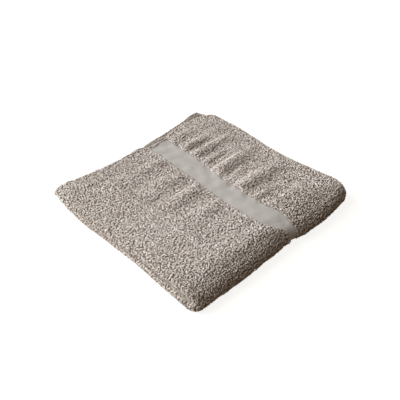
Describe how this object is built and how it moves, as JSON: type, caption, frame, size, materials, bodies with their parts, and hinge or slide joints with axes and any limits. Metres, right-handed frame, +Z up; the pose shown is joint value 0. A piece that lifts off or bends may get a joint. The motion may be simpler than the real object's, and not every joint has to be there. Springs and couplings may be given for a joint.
{
  "type": "folded bath towel",
  "caption": "Terry bath towel with a flat woven border near each end, folded end to end twice and then in half, lying as a soft square pad.",
  "frame": {"origin": "middle of the pad's underside, on the surface it lies on", "axes": "+Z up; +X towards the last fold, away from the side edges; +Y towards the hems; -Y towards the wrapped front fold"},
  "size_m": [0.3694, 0.3674, 0.0376],
  "materials": {
    "terry": "matt cotton loop pile, warm grey"
  },
  "bodies": {
    "root": {"towel": "terry"}
  },
  "joints": []
}
